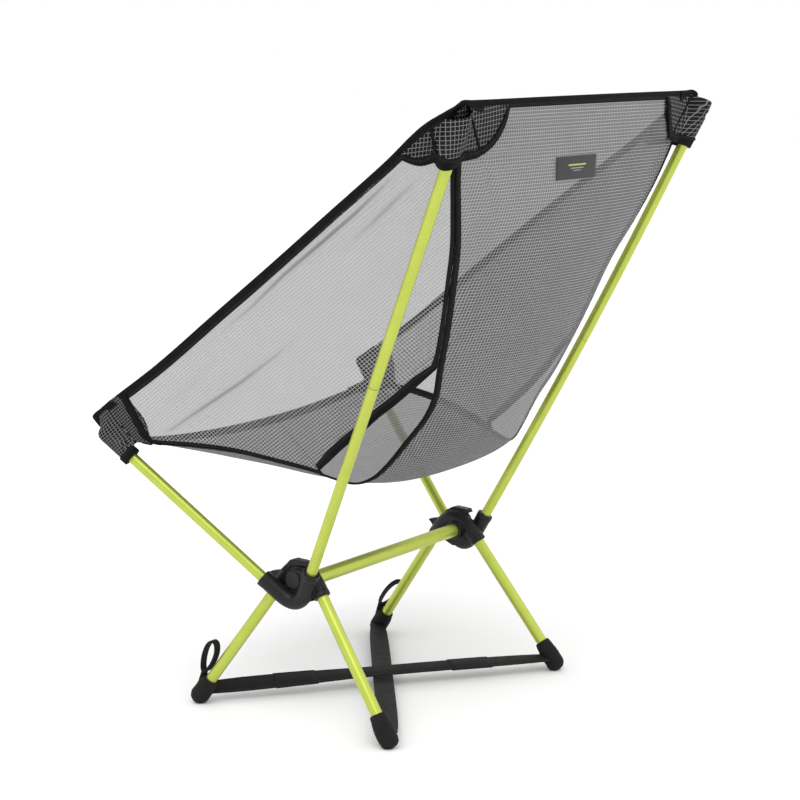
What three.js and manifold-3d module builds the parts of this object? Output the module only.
// Ultralight backpacking chair: shock-corded aluminium frame with a mesh sling.
// Millimetres, +Z up. The chair faces -Y; the sitter's left is +X.
// Origin: middle of the footprint, on the floor.
import * as THREE from 'three';
import { mergeVertices } from 'three/addons/utils/BufferGeometryUtils.js';
import { ParametricGeometry } from 'three/addons/geometries/ParametricGeometry.js';
import { ConvexGeometry } from 'three/addons/geometries/ConvexGeometry.js';
import Module from 'manifold-3d';

const wasm = await Module();
wasm.setup();

const v3 = (x, y, z) => new THREE.Vector3(x, y, z);

// ---------------------------------------------------------------- dimensions
const DEPTH_CENTRE = 24.56;        // the frame is drawn about the hubs, then moved so the footprint is centred
const GAP = 0.3;                  // clearance between neighbouring pieces

const HUB_V = v3(149.3, 0, 119.1);      // where the seat pole and back pole axes meet (left side)
const HUB_L = v3(137.2, -4.9, 175.0);   // where the two leg axes meet
const HUB_C = v3(143.1, -0.6, 147.0);   // crossbar axis inside the hub
const FRONT_TIP = v3(224.2, -186.2, 289.4);
const BACK_TIP = v3(223.0, 245.4, 618.0);
const BACK_BOW = v3(5, 4, 0);           // the long poles are sprung outwards a little
const FRONT_FOOT = v3(158.4, -128.6, 6);
const REAR_FOOT = v3(156.5, 118.6, 6);

const POLE_R = 5.6, POLE_BORE = 4.7;    // 11.2 mm seat and back poles
const LEG_R = 6.0, LEG_BORE = 5.1;      // 12 mm legs
const BAR_R = 7.35, BAR_BORE = 6.3;     // 14.7 mm crossbar
const BAR_END = 136.0;                  // half length of the crossbar
const SOCKET_R = 8.75, SOCKET_GAP = 0.35;
const POLE_SEAT = 27, POLE_MOUTH = 50;  // along the pole axis from HUB_V
const LEG_SEAT = 32, LEG_MOUTH = 50;    // along the leg axis from HUB_L
const FERRULE_R = 4.35, FERRULE_BORE = 3.6, FERRULE_HALF = 28;
const CORD_R = 1.4;

const MESH_T = 2.0;                     // plain solid that stands for the mesh cloth
const TAPE_T = 2.6, TAPE_HALF = 5.0;    // folded binding tape, 10 mm wide
const EDGE_TAPE = 10.5;
const POCKET_REACH = 46;                // radius of the reinforced corner
const POCKET_CUP_R = 8.6, POCKET_BORE_R = 6.1;

const STRAP_W = 22, STRAP_T = 1.6;
const BOOT_R = 10.2, BOOT_FRONT = 26, BOOT_REAR = 29;
const LOOP_W = 5.0, LOOP_T = 1.8;

// ---------------------------------------------------------------- materials
const mat = (color, roughness, metalness) => new THREE.MeshStandardMaterial({ color, roughness, metalness });
const ALU = () => mat(0xb9cd4a, 0.32, 0.85);
const PLASTIC = () => mat(0x2b2b2d, 0.5, 0.0);
const MESH = () => mat(0xa9aaab, 0.85, 0.0);
const TAPE = () => mat(0x1b1b1d, 0.85, 0.0);
const POCKET = () => mat(0x35373a, 0.85, 0.0);
const LABEL = () => mat(0x121213, 0.7, 0.0);
const CORD = () => mat(0x18181a, 0.8, 0.0);
const ALU_INNER = () => mat(0xb8b9ba, 0.35, 0.9);

const chair = new THREE.Group();
chair.position.set(0, -DEPTH_CENTRE, 0);
const add = (name, geo, material) => {
  const m = new THREE.Mesh(geo, material);
  m.name = name;
  chair.add(m);
  return m;
};

// ---------------------------------------------------------------- solids
// welded geometry -> manifold solid, turned so that its faces point outwards
function solid(geo) {
  const g = geo.clone();
  g.deleteAttribute('normal');
  g.deleteAttribute('uv');
  const w = mergeVertices(g, 1e-4);
  const p = w.attributes.position.array;
  const tri = [];
  const ix = w.index.array;
  let vol = 0;
  for (let i = 0; i < ix.length; i += 3) {
    const [a, b, c] = [ix[i], ix[i + 1], ix[i + 2]];
    if (a === b || b === c || a === c) continue;
    tri.push(a, b, c);
    const [ax, ay, az] = [p[3 * a], p[3 * a + 1], p[3 * a + 2]];
    const [bx, by, bz] = [p[3 * b], p[3 * b + 1], p[3 * b + 2]];
    const [cx, cy, cz] = [p[3 * c], p[3 * c + 1], p[3 * c + 2]];
    vol += ax * (by * cz - bz * cy) - ay * (bx * cz - bz * cx) + az * (bx * cy - by * cx);
  }
  if (vol < 0) for (let i = 0; i < tri.length; i += 3) { const t = tri[i]; tri[i] = tri[i + 1]; tri[i + 1] = t; }
  return new wasm.Manifold(new wasm.Mesh({
    numProp: 3, vertProperties: new Float32Array(p), triVerts: new Uint32Array(tri),
  }));
}

function geometry(man) {
  const m = man.getMesh();
  const n = m.numProp;
  const pos = new Float32Array(m.vertProperties.length / n * 3);
  for (let i = 0; i < pos.length / 3; i++) for (let k = 0; k < 3; k++) pos[3 * i + k] = m.vertProperties[n * i + k];
  const g = new THREE.BufferGeometry();
  g.setAttribute('position', new THREE.BufferAttribute(pos, 3));
  g.setIndex(new THREE.BufferAttribute(new Uint32Array(m.triVerts), 1));
  g.computeVertexNormals();
  return g;
}

// the biggest body of a cut solid
function largest(man) {
  const parts = man.decompose();
  parts.sort((a, b) => Math.abs(b.volume()) - Math.abs(a.volume()));
  return parts[0];
}

const mirrorX = (man) => solidMirror(man);
function solidMirror(man) {
  const g = geometry(man);
  const p = g.attributes.position.array;
  for (let i = 0; i < p.length; i += 3) p[i] = -p[i];
  return solid(g);
}

// turn a lathe or cylinder drawn along +Y so that it runs from A towards B
function along(geo, A, B, roll = 0) {
  const d = B.clone().sub(A).normalize();
  const q = new THREE.Quaternion().setFromUnitVectors(v3(0, 1, 0), d);
  const m = new THREE.Matrix4().makeRotationFromQuaternion(q).setPosition(A);
  const r = new THREE.Matrix4().makeRotationY(roll);
  geo.applyMatrix4(r);
  geo.applyMatrix4(m);
  return geo;
}
const lathe = (pts, seg = 16) => new THREE.LatheGeometry(pts.map(([r, h]) => new THREE.Vector2(r, h)), seg);
const rod = (A, B, r, seg = 16) => {
  const L = A.distanceTo(B);
  return along(lathe([[0, 0], [r, 0], [r, L], [0, L]], seg), A, B);
};
// round-ended rod
const capsule = (A, B, r, seg = 14) => {
  const L = A.distanceTo(B);
  const pts = [[0, -r]];
  for (let i = 1; i < 4; i++) pts.push([r * Math.sin(i * Math.PI / 8), -r * Math.cos(i * Math.PI / 8)]);
  pts.push([r, 0], [r, L]);
  for (let i = 3; i > 0; i--) pts.push([r * Math.sin(i * Math.PI / 8), L + r * Math.cos(i * Math.PI / 8)]);
  pts.push([0, L + r]);
  return along(lathe(pts, seg), A, B);
};
const tube = (A, B, rOut, rIn, seg = 14) => {
  const L = A.distanceTo(B);
  return along(lathe([[rIn, 0], [rOut, 0], [rOut, L], [rIn, L], [rIn, 0]], seg), A, B);
};

// hollow tube whose axis follows curve(t) between t0 and t1
function bentTube(curve, t0, t1, rOut, rIn, steps, seg = 12) {
  const chord = curve(t1).sub(curve(t0)).normalize();
  const e1 = v3(0, 0, 1).cross(chord).normalize();
  const e2 = chord.clone().cross(e1);
  const rings = [];
  for (let i = 0; i <= steps; i++) rings.push([t0 + (t1 - t0) * i / steps, rOut]);
  for (let i = steps; i >= 0; i--) rings.push([t0 + (t1 - t0) * i / steps, rIn]);
  rings.push(rings[0]);
  const f = (u, v, target) => {
    const [t, r] = rings[Math.min(rings.length - 1, Math.round(v * (rings.length - 1)))];
    const a = 2 * Math.PI * (Math.round(u * seg) % seg) / seg;
    const c = curve(t);
    target.copy(c).addScaledVector(e1, r * Math.cos(a)).addScaledVector(e2, r * Math.sin(a));
  };
  return new ParametricGeometry(f, seg, rings.length - 1);
}

// solid sheet of thickness T whose middle surface is P(u, v), u and v in 0..1
// shift: how far the solid sits off that surface, along its normal
function sheet(P, nu, nv, T, shift = 0) {
  const mid = [], nor = [];
  const at = (i, j) => P(i / nu, j / nv);
  for (let j = 0; j <= nv; j++) {
    mid.push([]); nor.push([]);
    for (let i = 0; i <= nu; i++) {
      mid[j].push(at(i, j));
    }
  }
  for (let j = 0; j <= nv; j++) for (let i = 0; i <= nu; i++) {
    const du = mid[j][Math.min(nu, i + 1)].clone().sub(mid[j][Math.max(0, i - 1)]);
    const dv = mid[Math.min(nv, j + 1)][i].clone().sub(mid[Math.max(0, j - 1)][i]);
    nor[j].push(du.cross(dv).normalize());
  }
  // section loop: top side 0..nu, then bottom side nu..0, closed
  const loop = [];
  for (let i = 0; i <= nu; i++) loop.push([i, 1]);
  for (let i = nu; i >= 0; i--) loop.push([i, -1]);
  loop.push(loop[0]);
  const n = loop.length - 1;
  // the first and last rows fold the loop onto its middle line
  const rows = [[0, true]];
  for (let j = 0; j <= nv; j++) rows.push([j, false]);
  rows.push([nv, true]);
  const f = (u, v, target) => {
    const [i, side] = loop[Math.round(u * n)];
    const [j, fold] = rows[Math.round(v * (rows.length - 1))];
    const s = fold ? shift : shift + side * T / 2;
    target.copy(mid[j][i]).addScaledVector(nor[j][i], s);
  };
  return new ParametricGeometry(f, n, rows.length - 1);
}

const spline = (pts) => {
  const c = new THREE.CatmullRomCurve3(pts.map((p) => v3(...p)), false, 'centripetal');
  return c;
};

// ---------------------------------------------------------------- frame
const lerp = (A, B, t) => A.clone().lerp(B, t);
const onLine = (A, B, d) => A.clone().addScaledVector(B.clone().sub(A).normalize(), d);
const FRONT_LEN = HUB_V.distanceTo(FRONT_TIP);
const BACK_LEN = HUB_V.distanceTo(BACK_TIP);
const backPole = (t) => lerp(HUB_V, BACK_TIP, t).addScaledVector(BACK_BOW, 4 * t * (1 - t));
const backAt = (d) => backPole(d / BACK_LEN);
const SPLIT = 278;                       // where the long pole comes apart

// hub: an outer U that takes the two seat-side poles, an inner arch that takes the legs,
// and a boss round the crossbar
function sweptArm(A, corner, B, dA, dB, r) {
  // round-cornered path from A's mouth to B's mouth
  const a1 = corner.clone().addScaledVector(A, dA), b1 = corner.clone().addScaledVector(B, dA);
  const a2 = corner.clone().addScaledVector(A, dB), b2 = corner.clone().addScaledVector(B, dB);
  const path = new THREE.CurvePath();
  path.add(new THREE.LineCurve3(a2, a1));
  path.add(new THREE.QuadraticBezierCurve3(a1, corner, b1));
  path.add(new THREE.LineCurve3(b1, b2));
  const sec = new THREE.Shape();
  sec.absarc(0, 0, r, 0, 2 * Math.PI, false);
  return new THREE.ExtrudeGeometry(sec, { steps: 14, bevelEnabled: false, extrudePath: path, curveSegments: 10 });
}
const dirTo = (A, B) => B.clone().sub(A).normalize();
const uFront = dirTo(HUB_V, FRONT_TIP);
const uBack = dirTo(backAt(POLE_SEAT), backAt(POLE_MOUTH));
const uLegF = dirTo(HUB_L, FRONT_FOOT);
const uLegR = dirTo(HUB_L, REAR_FOOT);

function hub() {
  let h = solid(sweptArm(uFront, HUB_V, uBack, 26, POLE_MOUTH, SOCKET_R));
  h = h.add(solid(sweptArm(uLegF, HUB_L, uLegR, 34, LEG_MOUTH, SOCKET_R)));
  h = h.add(solid(rod(v3(131, HUB_C.y, HUB_C.z), v3(150, HUB_C.y, HUB_C.z), 15, 20)));
  h = h.add(solid(rod(v3(127, HUB_C.y, HUB_C.z), v3(133, HUB_C.y, HUB_C.z), 10.2, 20)));
  // bores
  const bore = (A, B, r) => solid(rod(A, B, r, 16));
  h = h.subtract(bore(v3(100, HUB_C.y, HUB_C.z), v3(BAR_END + GAP, HUB_C.y, HUB_C.z), BAR_R + SOCKET_GAP));
  h = h.subtract(bore(HUB_V.clone().addScaledVector(uFront, POLE_SEAT - GAP), HUB_V.clone().addScaledVector(uFront, 70), POLE_R + SOCKET_GAP));
  const b0 = backAt(POLE_SEAT);
  h = h.subtract(bore(b0.clone().addScaledVector(uBack, -GAP), b0.clone().addScaledVector(uBack, 40), POLE_R + SOCKET_GAP));
  h = h.subtract(bore(HUB_L.clone().addScaledVector(uLegF, LEG_SEAT - GAP), HUB_L.clone().addScaledVector(uLegF, 70), LEG_R + SOCKET_GAP));
  h = h.subtract(bore(HUB_L.clone().addScaledVector(uLegR, LEG_SEAT - GAP), HUB_L.clone().addScaledVector(uLegR, 70), LEG_R + SOCKET_GAP));
  return largest(h);
}
const hubL = hub();
add('hub_left', geometry(hubL), PLASTIC());
add('hub_right', geometry(mirrorX(hubL)), PLASTIC());
const capL = solid(along(lathe([[0, 0], [7.4, 0], [7.4, 1.6], [6.2, 2.6], [0, 2.6]], 18), v3(150.3, -8, 150), v3(160, -8, 150)));
add('hub_cap_left', geometry(capL), PLASTIC());
add('hub_cap_right', geometry(mirrorX(capL)), PLASTIC());

add('crossbar', tube(v3(-BAR_END, HUB_C.y, HUB_C.z), v3(BAR_END, HUB_C.y, HUB_C.z), BAR_R, BAR_BORE, 20), ALU());
add('cord_crossbar', rod(v3(-BAR_END + 2, HUB_C.y, HUB_C.z), v3(BAR_END - 2, HUB_C.y, HUB_C.z), CORD_R, 8), CORD());

// each piece of the left side, and its mirror image on the right
function pair(name, man, material) {
  add(name + '_left', geometry(man), material());
  add(name + '_right', geometry(mirrorX(man)), material());
}

const frontAt = (d) => onLine(HUB_V, FRONT_TIP, d);
pair('front_pole', solid(tube(frontAt(POLE_SEAT), frontAt(FRONT_LEN - 4), POLE_R, POLE_BORE, 14)), ALU);
pair('back_pole_lower', solid(bentTube(backPole, POLE_SEAT / BACK_LEN, (SPLIT - GAP / 2) / BACK_LEN, POLE_R, POLE_BORE, 5, 14)), ALU);
pair('back_pole_upper', solid(bentTube(backPole, (SPLIT + GAP / 2) / BACK_LEN, (BACK_LEN - 4) / BACK_LEN, POLE_R, POLE_BORE, 5, 14)), ALU);
pair('ferrule', solid(tube(backAt(SPLIT - FERRULE_HALF), backAt(SPLIT + FERRULE_HALF), FERRULE_R, FERRULE_BORE, 12)), ALU_INNER);
const legAt = (foot) => (d) => onLine(HUB_L, foot, d);
const legF = legAt(FRONT_FOOT), legR = legAt(REAR_FOOT);
const LEG_LEN_F = HUB_L.distanceTo(FRONT_FOOT) - 5, LEG_LEN_R = HUB_L.distanceTo(REAR_FOOT) - 5;
pair('leg_front', solid(tube(legF(LEG_SEAT), legF(LEG_LEN_F), LEG_R, LEG_BORE, 14)), ALU);
pair('leg_rear', solid(tube(legR(LEG_SEAT), legR(LEG_LEN_R), LEG_R, LEG_BORE, 14)), ALU);

// shock cord inside each pole and leg
pair('cord_front_pole', solid(rod(frontAt(POLE_SEAT + 1), frontAt(FRONT_LEN - 18), CORD_R, 8)), CORD);
pair('cord_back_pole', solid(rod(backAt(POLE_SEAT + 1), backAt(SPLIT + 60), CORD_R, 8)), CORD);
pair('cord_leg_front', solid(rod(legF(LEG_SEAT + 1), legF(LEG_LEN_F - 14), CORD_R, 8)), CORD);
pair('cord_leg_rear', solid(rod(legR(LEG_SEAT + 1), legR(LEG_LEN_R - 14), CORD_R, 8)), CORD);

// end plugs: a shank inside the tube and a domed head outside it
const plug = (rTube, rBore) => lathe([[0, -12], [rBore - GAP, -12], [rBore - GAP, GAP], [rTube - 0.1, GAP], [rTube - 0.1, 2], [rTube * 0.7, 4.4], [0, 5]], 14);
pair('front_pole_tip', solid(along(plug(POLE_R, POLE_BORE), frontAt(FRONT_LEN - 4), frontAt(FRONT_LEN))), PLASTIC);
{
  const a = backAt(BACK_LEN - 4), d = dirTo(backAt(BACK_LEN - 20), a);
  pair('back_pole_tip', solid(along(plug(POLE_R, POLE_BORE), a, a.clone().add(d))), PLASTIC);
}
pair('foot_plug_front', solid(along(plug(LEG_R, LEG_BORE), legF(LEG_LEN_F), legF(LEG_LEN_F + 1))), PLASTIC);
pair('foot_plug_rear', solid(along(plug(LEG_R, LEG_BORE), legR(LEG_LEN_R), legR(LEG_LEN_R + 1))), PLASTIC);

// ---------------------------------------------------------------- boots, straps and pull loops
const belowFloor = solid(new THREE.BoxGeometry(800, 800, 60).translate(0, 0, -30));
function boot(at, len, BOOT_LEN) {
  const r = BOOT_R;
  const pts = [[0, 11.5], [r * 0.55, 10.2], [r * 0.88, 7.2], [r, 2.5], [r, -8], [r * 0.95, -14], [LEG_R + 2.3, -BOOT_LEN + 6], [LEG_R + 1.9, -BOOT_LEN + 4]];
  const a = at(len), d = dirTo(at(len - 20), a);
  let b = solid(along(lathe(pts.slice().concat([[0, -BOOT_LEN + 4]]), 16), a, a.clone().add(d)));
  b = b.subtract(solid(rod(a.clone().addScaledVector(d, -60), a.clone().addScaledVector(d, 5 + GAP), LEG_R + SOCKET_GAP, 16)));
  return largest(b.subtract(belowFloor));
}
const bootF = boot(legF, LEG_LEN_F, BOOT_FRONT), bootR = boot(legR, LEG_LEN_R, BOOT_REAR);
pair('boot_front', bootF, TAPE);
pair('boot_rear', bootR, TAPE);

// crossed ground straps: each joins a front boot to the opposite rear boot
function strap(A, B, z, tilt) {
  const dir = v3(B.x - A.x, B.y - A.y, 0).normalize();
  const side = v3(-dir.y, dir.x, 0);
  const L = Math.hypot(B.x - A.x, B.y - A.y);
  const P = (u, v) => {
    const s = 9 + v * (L - 18);
    const ends = Math.pow(Math.abs(2 * v - 1), 6);
    const w = STRAP_W * (1 - 0.30 * ends);
    const a = tilt(v) * Math.PI / 180;
    const off = (u - 0.5) * w;
    return v3(A.x, A.y, z(v)).addScaledVector(dir, s).addScaledVector(side, off * Math.cos(a)).add(v3(0, 0, off * Math.sin(a)));
  };
  return solid(sheet(P, 2, 16, STRAP_T));
}
{
  const A1 = v3(FRONT_FOOT.x, FRONT_FOOT.y, 0), B1 = v3(-REAR_FOOT.x, REAR_FOOT.y, 0);
  const A2 = v3(-FRONT_FOOT.x, FRONT_FOOT.y, 0), B2 = v3(REAR_FOOT.x, REAR_FOOT.y, 0);
  // clearance solids a little fatter than the boots
  const fat = (at, len) => {
    const a = at(len), d = dirTo(at(len - 20), a);
    return solid(along(lathe([[0, 9], [BOOT_R + GAP, 5], [BOOT_R + GAP, -10], [LEG_R + 2.8, -BOOT_REAR + 1], [0, -BOOT_REAR + 1]], 18), a, a.clone().add(d)));
  };
  const fats = [fat(legF, LEG_LEN_F), fat(legR, LEG_LEN_R)];
  const all = fats.concat(fats.map(mirrorX));
  let s1 = strap(A1, B1, (v) => 14.5 + 1.8 * Math.sin(Math.PI * v), (v) => 34 - 24 * Math.min(1, v * 2.2));
  let s2 = strap(A2, B2, (v) => 13 - 4.2 * Math.pow(Math.sin(Math.PI * v), 0.5), (v) => -3);
  for (const f of all) { s1 = s1.subtract(f); s2 = s2.subtract(f); }
  add('strap_over', geometry(largest(s1)), TAPE());
  add('strap_under', geometry(largest(s2)), TAPE());
}

// finger loops on the two front boots
function loop(base, up, wide, h, w) {
  const n = 20;
  const pts = [];
  for (let i = 0; i < n; i++) {
    const a = 2 * Math.PI * i / n;
    // leaf outline: narrow at the base, widest above the middle
    const y = h / 2 - h / 2 * Math.cos(a);
    const x = w / 2 * Math.sin(a) * (0.72 + 0.35 * y / h);
    pts.push(base.clone().addScaledVector(up, y).addScaledVector(wide, x));
  }
  const nrm = up.clone().cross(wide).normalize();
  const f = (u, v, target) => {
    const i = Math.round(u * n) % n;
    const p = pts[i], q = pts[(i + 1) % n], o = pts[(i + n - 1) % n];
    const tan = q.clone().sub(o).normalize();
    const out = nrm.clone().cross(tan).normalize();
    const k = Math.round(v * 4) % 4;
    const a = [1, 1, -1, -1][k] * LOOP_W / 2, b = [1, -1, -1, 1][k] * LOOP_T / 2;
    target.copy(p).addScaledVector(nrm, a).addScaledVector(out, b);
  };
  return solid(new ParametricGeometry(f, n, 4));
}
const LOOP_BASE = v3(155.6, -122.2, 34.8);
const LOOP_UP = v3(0, 0.4, 0.9165).normalize();
const LOOP_H = 37, LOOP_WIDE = 15.5;
const RIGHT_FLOP = 48;                  // the right loop has fallen outwards by this many degrees
{
  const left = loop(LOOP_BASE, LOOP_UP, v3(0, LOOP_UP.z, -LOOP_UP.y), LOOP_H, LOOP_WIDE);
  add('pull_loop_left', geometry(left), TAPE());
  const g = geometry(mirrorX(left));
  const base = v3(-LOOP_BASE.x, LOOP_BASE.y, LOOP_BASE.z);
  g.translate(-base.x, -base.y, -base.z);
  g.applyMatrix4(new THREE.Matrix4().makeRotationAxis(v3(0, LOOP_UP.z, -LOOP_UP.y), -RIGHT_FLOP * Math.PI / 180));
  g.translate(base.x, base.y, base.z);
  add('pull_loop_right', geometry(solid(g)), TAPE());
}

// ---------------------------------------------------------------- sling
// main panel: seam (side) line and middle line from the front edge to the top edge
const SEAM = spline([
  [217, -186, 286], [207, -132, 285], [197, -100, 285], [181, -54.5, 282], [166, -9, 274], [155, 20, 267.5],
  [147, 45, 260], [140, 63, 256.5], [131, 77, 262], [123.5, 90, 276], [115.5, 107, 300], [109, 124, 324], [113, 138, 346],
  [123.5, 151, 377], [135, 167, 418], [148, 182.5, 462], [165, 199, 500], [182, 211, 534], [196, 220.5, 567],
  [206, 230, 602], [213, 239, 635]]);
const MIDDLE = spline([
  [0, -192, 268], [0, -138, 252], [0, -104, 245], [0, -58, 239], [0, -14, 235], [0, 22, 235],
  [0, 56, 240], [0, 82, 249], [0, 102, 260], [0, 120, 273], [0, 141, 298], [0, 158, 324], [0, 173, 348],
  [0, 189, 379], [0, 208, 421], [0, 226, 465], [0, 238, 503], [0, 246, 537], [0, 250, 570],
  [0, 250.5, 604], [0, 248, 636]]);
const N_ST = 20;
const BELLY = 2.2;
// w runs from -1 (right seam) to 1 (left seam)
function mainSurface(w, v) {
  const e = SEAM.getPoint(v), c = MIDDLE.getPoint(v);
  const k = Math.pow(Math.abs(w), BELLY);
  return v3(e.x * w, c.y + (e.y - c.y) * k, c.z + (e.z - c.z) * k);
}
// side panel: lower line (bottom seam, free rear-lower edge, back seam) and upper line (arm edge)
const V_LOW = 5.6 / N_ST, V_FORK = 13 / N_ST;   // where the two panels part and meet again
const FREE_EDGE = spline([[152, 29, 266.5], [154.5, 47, 281], [154, 64, 296], [151.5, 80, 309], [147.5, 98, 326], [141, 114, 340], [133, 129, 355], [123.5, 151, 377]]);
const ARM = spline([[224, -206, 309], [226, -187, 323], [223, -120, 369], [219.5, -40, 430], [218, 20, 475], [219.5, 90, 527], [223, 160, 578], [226, 207, 614], [224, 240, 630.5]]);
const lowerAt = (s) => {
  // s 0..1 along the lower line
  const a = 0.32, b = 0.55;
  if (s < a) return SEAM.getPoint(s / a * V_LOW);
  if (s < b) return FREE_EDGE.getPointAt((s - a) / (b - a));
  return SEAM.getPoint(V_FORK + (s - b) / (1 - b) * (1 - V_FORK));
};
const upperAt = (s) => ARM.getPointAt(s);
const panelAt = (s, mm) => {
  // a point mm above the lower line (negative: below the upper line)
  const g = lowerAt(s), h = upperAt(s);
  const L = g.distanceTo(h);
  const t = mm >= 0 ? Math.min(0.48, mm / L) : 1 - Math.min(0.48, -mm / L);
  return g.clone().lerp(h, t);
};

const cupCentre = { front: FRONT_TIP.clone(), back: BACK_TIP.clone() };
const ball = (c, r) => solid(new THREE.SphereGeometry(r, 18, 12).translate(c.x, c.y, c.z));
const mir = (p) => v3(-p.x, p.y, p.z);
const corners = [cupCentre.front, mir(cupCentre.front), cupCentre.back, mir(cupCentre.back)];
// the corners pull outwards with their poles, so their paths are kept clear as well
const PULL = 22.5;
const dBackTip = dirTo(backAt(BACK_LEN - 30), BACK_TIP);
const pulls = [uFront, mir(uFront), dBackTip, mir(dBackTip)];
const balls = [];
corners.forEach((c, i) => {
  for (let k = 0; k <= 3; k++) balls.push(ball(c.clone().addScaledVector(pulls[i], PULL * k / 3), POCKET_REACH + 3 * GAP));
});
const clear = (m) => { for (const b of balls) m = m.subtract(b); return largest(m); };

// main panel
const strip = solid(sheet((u, v) => {
  const w = 2 * u - 1;
  const e = SEAM.getPoint(0.016 + v * 0.968);
  const k = (e.x - TAPE_HALF - GAP - 1.3) / e.x;
  return mainSurface(w * k, 0.016 + v * 0.968);
}, 10, 26, MESH_T));
add('sling_panel', geometry(clear(strip)), MESH());

// front and top hems
const hem = (v0, v1) => solid(sheet((u, v) => {
  const w = (2 * v - 1);
  const vv = v0 + u * (v1 - v0);
  const e = SEAM.getPoint(vv);
  return mainSurface(w * (e.x - TAPE_HALF - GAP - 0.3) / e.x, vv);
}, 2, 14, TAPE_T));
const hemFront = hem(0.0, 0.0122), hemTop = hem(0.9876, 1.0);
add('front_hem', geometry(clear(hemFront)), TAPE());
add('top_hem', geometry(clear(hemTop)), TAPE());

// side panel, left
const side = solid(sheet((u, v) => {
  const s = 0.02 + v * 0.96;
  const a = panelAt(s, TAPE_HALF + GAP + 0.3), b = panelAt(s, -(EDGE_TAPE + GAP));
  return a.lerp(b, u);
}, 4, 26, MESH_T));
// room for the tape along the lower line
const fatSide = solid(sheet((u, v) => {
  const s = 0.015 + v * 0.97;
  return panelAt(s, 0.2 + u * (TAPE_HALF + 0.2));
}, 1, 40, TAPE_T + 0.7));
const sideL = largest(clear(side).subtract(fatSide));
pair('side_panel', sideL, MESH);

// binding along the arm edge
const armTape = solid(sheet((u, v) => {
  const s = v;
  return panelAt(s, -(0.01 + (1 - u) * EDGE_TAPE));
}, 1, 24, TAPE_T));
pair('arm_binding', clear(armTape), TAPE);

// tape on the main panel's side: lower seam, free edge and back seam
const mainTape = (v0, v1, nv) => solid(sheet((u, v) => {
  const vv = v0 + v * (v1 - v0);
  const e = SEAM.getPoint(vv);
  const inner = mainSurface((e.x - TAPE_HALF) / e.x, vv);
  return u === 0 ? inner : e.clone();
}, 1, nv, TAPE_T));
pair('panel_binding', clear(mainTape(0.02, 0.985, 36)), TAPE);

// tape on the side panel's lower line
const sideTape = solid(sheet((u, v) => {
  const s = 0.015 + v * 0.97;
  return panelAt(s, 0.55 + u * (TAPE_HALF - 0.55));
}, 1, 40, TAPE_T));
let sideTapeL = clear(sideTape);
// keep clear of the main panel's tape along the seam
const fatMain = solid(sheet((u, v) => {
  const vv = 0.0 + v * 1.0;
  const e = SEAM.getPoint(vv);
  const out = dirTo(mainSurface((e.x - TAPE_HALF) / e.x, vv), e.clone());
  const inner = mainSurface((e.x - TAPE_HALF - 0.4) / e.x, vv);
  return u === 0 ? inner : e.clone().addScaledVector(out, 0.35);
}, 1, 44, TAPE_T + 0.7));
sideTapeL = largest(sideTapeL.subtract(fatMain));
pair('side_binding', sideTapeL, TAPE);

// reinforced corners: the panel corner and a cup over the pole tip
function cup(tip, d) {
  const back = 33;
  const c = capsule(tip.clone().addScaledVector(d, -back), tip.clone().addScaledVector(d, 3), POCKET_CUP_R, 14);
  return solid(c).subtract(solid(rod(tip.clone().addScaledVector(d, -back - 30), tip.clone().addScaledVector(d, -back), 30, 12)));
}
function corner(tip, d, kind) {
  const b = ball(tip, POCKET_REACH);
  const full = (P, nu, nv) => solid(sheet(P, nu, nv, 2.8));
  const [v0, v1] = kind === 'front' ? [0.0, 0.16] : [0.86, 1.0];
  const [s0, s1] = kind === 'front' ? [0.0, 0.16] : [0.88, 1.0];
  let m = full((u, v) => {
    const vv = v0 + v * (v1 - v0);
    return mainSurface(0.45 + 0.55 * u, vv);
  }, 6, 7);
  m = m.add(full((u, v) => {
    const s = s0 + v * (s1 - s0);
    return lowerAt(s).lerp(upperAt(s), u);
  }, 4, 7));
  m = m.add(cup(tip, d));
  // the pouch that joins the cup to the panel corner
  const pts = [];
  const e1 = v3(1, 0, 0).cross(d).normalize(), e2 = d.clone().cross(e1);
  for (const [k, r] of [[-24, POCKET_CUP_R - 0.6], [0, POCKET_CUP_R - 0.4], [6, POCKET_CUP_R * 0.6]]) {
    for (let i = 0; i < 10; i++) {
      const a = i * Math.PI / 5;
      pts.push(tip.clone().addScaledVector(d, k).addScaledVector(e1, r * Math.cos(a)).addScaledVector(e2, r * Math.sin(a)));
    }
  }
  for (let j = 0; j <= 4; j++) {
    const s = s0 + (s1 - s0) * (kind === 'front' ? 0.1 + 0.35 * j / 4 : 0.55 + 0.4 * j / 4);
    pts.push(lowerAt(s), upperAt(s));
  }
  m = m.add(solid(new ConvexGeometry(pts.filter((q) => q.distanceTo(tip) < 34))));
  m = m.intersect(b);
  m = m.subtract(solid(rod(tip.clone().addScaledVector(d, -80), tip.clone().addScaledVector(d, 1.6), POCKET_BORE_R, 16)));
  return m;
}
const pocketFront = largest(corner(FRONT_TIP, uFront, 'front'));
const pocketBack = largest(corner(BACK_TIP, dBackTip, 'back'));
pair('front_pocket', pocketFront, POCKET);
pair('back_pocket', pocketBack, POCKET);

// plain badge on the outside of the back panel
const badge = solid(sheet((u, v) => mainSurface(0.02 + 0.34 * u, 0.881 + 0.033 * v), 5, 2, 0.9, -(MESH_T / 2 + 0.45 + GAP + 0.25)));
add('badge', geometry(badge), LABEL());

export default chair;
